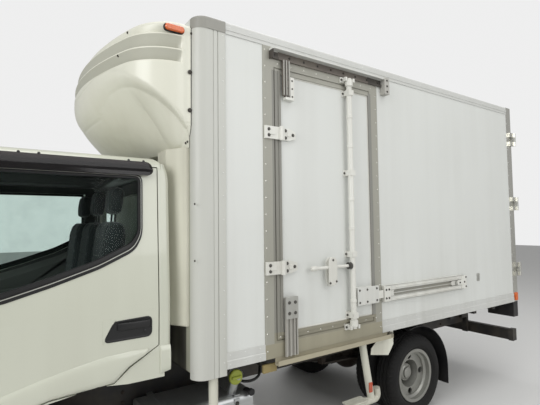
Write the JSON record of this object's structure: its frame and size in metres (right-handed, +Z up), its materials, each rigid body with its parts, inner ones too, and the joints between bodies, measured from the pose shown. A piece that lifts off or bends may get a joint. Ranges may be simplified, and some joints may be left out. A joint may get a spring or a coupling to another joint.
{
  "type": "refrigerated light truck",
  "caption": "Cab-over light truck with an insulated box, nose-mounted refrigeration unit, sliding side door, twin rear wheels, tilting cab and swinging rear doors",
  "frame": {"origin": "On the ground under the middle of the truck's overall length and width", "axes": "+X to the rear, -Y to the kerb side with the sliding door, +Z up"},
  "size_m": [5.5999, 2.19, 2.897],
  "materials": {
    "chassis_black": "satin black paint",
    "cast_metal": "dull cast iron",
    "tank_steel": "black paint",
    "bumper_white": "gloss white paint",
    "guard_white": "off-white paint",
    "panel_white": "glass-fibre skin, pale grey-white",
    "rail_aluminium": "anodised extrusion",
    "stainless": "brushed stainless steel",
    "unit_cream": "moulded cream-white cowl",
    "evaporator_grey": "white painted sheet",
    "lamp_red": "lamp lens",
    "cab_white": "gloss cream-white paint",
    "cab_inner": "grey floor mat and liner",
    "dash_plastic": "dark grained plastic",
    "seat_fabric": "grey-green cloth",
    "glass": "clear glass with a faint green tint",
    "lamp_glass": "clear lamp lens over a reflector",
    "mirror_black": "black plastic shell",
    "seal_rubber": "black door seal",
    "tyre": "black rubber",
    "rim_steel": "grey painted steel"
  },
  "bodies": {
    "chassis_and_box": {"chassis_frame": "chassis_black", "box_subframe": "chassis_black", "powertrain": "cast_metal", "front_axle": "cast_metal", "leaf_springs": "cast_metal", "rear_axle": "cast_metal", "fuel_tank": "tank_steel", "battery_box": "tank_steel", "exhaust": "stainless", "front_bumper": "bumper_white", "cab_steps": "bumper_white", "under_run_bar": "chassis_black", "mudguards": "mirror_black", "side_guards": "guard_white", "lamps": "lamp_red", "box_floor": "rail_aluminium", "box_side_walls": "panel_white", "box_front_wall": "panel_white", "box_roof": "panel_white", "box_edge_rails": "rail_aluminium", "rear_portal": "stainless", "side_door_frame": "stainless", "side_door": "panel_white", "side_door_gear": "stainless", "side_door_seal": "seal_rubber", "side_door_rails": "stainless", "refrigeration_unit": "unit_cream", "pipe_cover": "unit_cream", "evaporator": "evaporator_grey"},
    "left_rear_door": {"rear_door_left": "panel_white", "rear_door_gear_left": "stainless"},
    "right_rear_door": {"rear_door_right": "panel_white", "rear_door_gear_right": "stainless"},
    "cab": {"cab_floor": "cab_inner", "cab_back_panel": "cab_white", "cab_roof": "cab_white", "cab_front_panel": "cab_white", "cab_side_frames": "cab_white", "cab_glass": "glass", "dashboard": "dash_plastic", "seats": "seat_fabric", "headlamps": "lamp_glass", "mirrors": "mirror_black"},
    "driver_wheel": {"steering_wheel": "dash_plastic"},
    "left_cab_door": {"cab_door_left": "cab_white", "door_glass_left": "glass"},
    "right_cab_door": {"cab_door_right": "cab_white", "door_glass_right": "glass"},
    "left_knuckle": {"knuckle_left": "cast_metal"},
    "right_knuckle": {"knuckle_right": "cast_metal"},
    "left_front_wheel": {"front_tyre_left": "tyre", "front_rim_left": "rim_steel"},
    "right_front_wheel": {"front_tyre_right": "tyre", "front_rim_right": "rim_steel"},
    "left_rear_wheels": {"rear_tyres_left": "tyre", "rear_rims_left": "rim_steel"},
    "right_rear_wheels": {"rear_tyres_right": "tyre", "rear_rims_right": "rim_steel"}
  },
  "joints": [
    {"name": "cab_tilt", "type": "hinge", "parent": "chassis_and_box", "child": "cab", "pos_m": [-2.62, 0, 0.64], "axis": [0, 1, 0], "range_deg": [-45, 0]},
    {"name": "left_cab_door_swing", "type": "hinge", "parent": "cab", "child": "left_cab_door", "pos_m": [-2.5, -0.842, 1.13], "axis": [0, 0, -1], "range_deg": [0, 68]},
    {"name": "right_cab_door_swing", "type": "hinge", "parent": "cab", "child": "right_cab_door", "pos_m": [-2.5, 0.842, 1.13], "axis": [0, 0, 1], "range_deg": [0, 68]},
    {"name": "left_rear_door_swing", "type": "hinge", "parent": "chassis_and_box", "child": "left_rear_door", "pos_m": [2.772, -0.97, 1.85], "axis": [0, 0, -1], "range_deg": [0, 255]},
    {"name": "right_rear_door_swing", "type": "hinge", "parent": "chassis_and_box", "child": "right_rear_door", "pos_m": [2.772, 0.97, 1.85], "axis": [0, 0, 1], "range_deg": [0, 255]},
    {"name": "left_steer", "type": "hinge", "parent": "chassis_and_box", "child": "left_knuckle", "pos_m": [-1.682, -0.6, 0.34], "axis": [0, 0, 1], "range_deg": [-35, 35]},
    {"name": "right_steer", "type": "hinge", "parent": "chassis_and_box", "child": "right_knuckle", "pos_m": [-1.682, 0.6, 0.34], "axis": [0, 0, 1], "range_deg": [-35, 35]},
    {"name": "driver_wheel_turn", "type": "hinge", "parent": "cab", "child": "driver_wheel", "pos_m": [-2.29, 0.4, 1.262], "axis": [0.9342, 0, 0.3567], "range_deg": [-700, 700]},
    {"name": "left_front_spin", "type": "hinge", "parent": "left_knuckle", "child": "left_front_wheel", "pos_m": [-1.682, -0.697, 0.34], "axis": [0, 1, 0], "continuous": true},
    {"name": "right_front_spin", "type": "hinge", "parent": "right_knuckle", "child": "right_front_wheel", "pos_m": [-1.682, 0.697, 0.34], "axis": [0, 1, 0], "continuous": true},
    {"name": "left_rear_spin", "type": "hinge", "parent": "chassis_and_box", "child": "left_rear_wheels", "pos_m": [1.118, -0.642, 0.34], "axis": [0, 1, 0], "continuous": true},
    {"name": "right_rear_spin", "type": "hinge", "parent": "chassis_and_box", "child": "right_rear_wheels", "pos_m": [1.118, 0.642, 0.34], "axis": [0, 1, 0], "continuous": true}
  ],
  "couplings": [
    {"joint": "right_steer", "follows": "left_steer", "ratio": 1},
    {"joint": "driver_wheel_turn", "follows": "left_steer", "ratio": 20}
  ]
}
